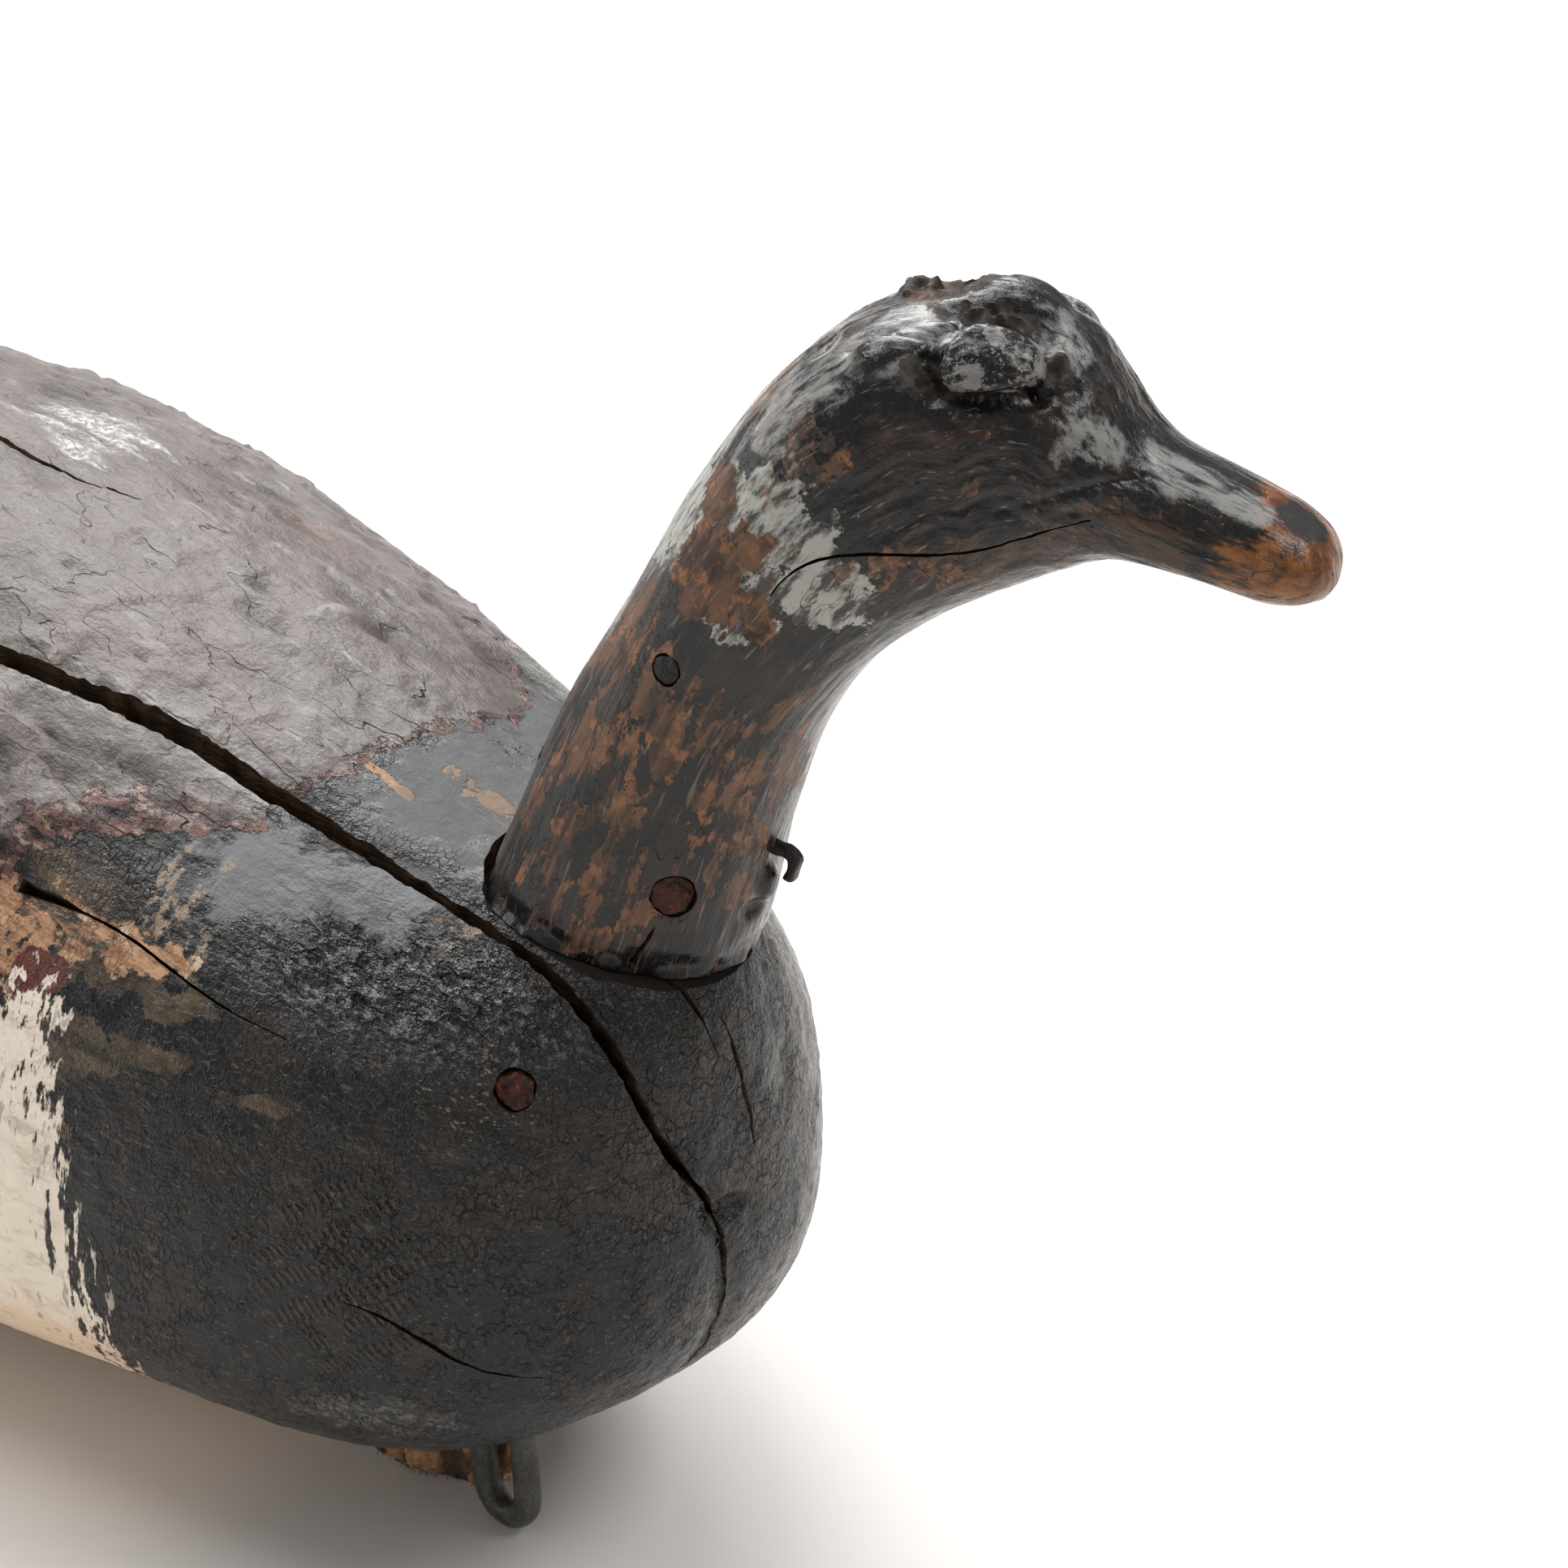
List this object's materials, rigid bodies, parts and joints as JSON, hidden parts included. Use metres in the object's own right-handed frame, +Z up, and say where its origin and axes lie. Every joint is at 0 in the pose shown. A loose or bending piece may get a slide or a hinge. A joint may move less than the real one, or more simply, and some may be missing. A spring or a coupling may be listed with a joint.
{
  "type": "goose decoy",
  "caption": "Carved wooden goose hunting decoy with a root head and neck turned to its left, old black and grey paint, a long drying check and a wire line tie under the breast",
  "frame": {"origin": "centre of the bottom of the bounding box, on the surface the decoy rests on", "axes": "+X towards the breast and bill, +Y to the goose's left, +Z up"},
  "size_m": [0.4872, 0.1846, 0.2324],
  "materials": {
    "body_wood": "old black, grey and off-white paint, worn to bare wood",
    "head_wood": "worn black paint over orange-brown root wood",
    "rusty_iron": "rusted nail heads, partly painted over",
    "tie_wire": "dull grey weathered wire",
    "leather": "dry torn tan leather"
  },
  "bodies": {
    "root": {"body": "body_wood", "head_neck": "head_wood", "neck_nail_low": "rusty_iron", "neck_nail_high": "rusty_iron", "neck_nail_back": "rusty_iron", "neck_nail_bent": "rusty_iron", "breast_nail": "rusty_iron", "line_tie": "tie_wire", "leather_scrap": "leather"}
  },
  "joints": []
}
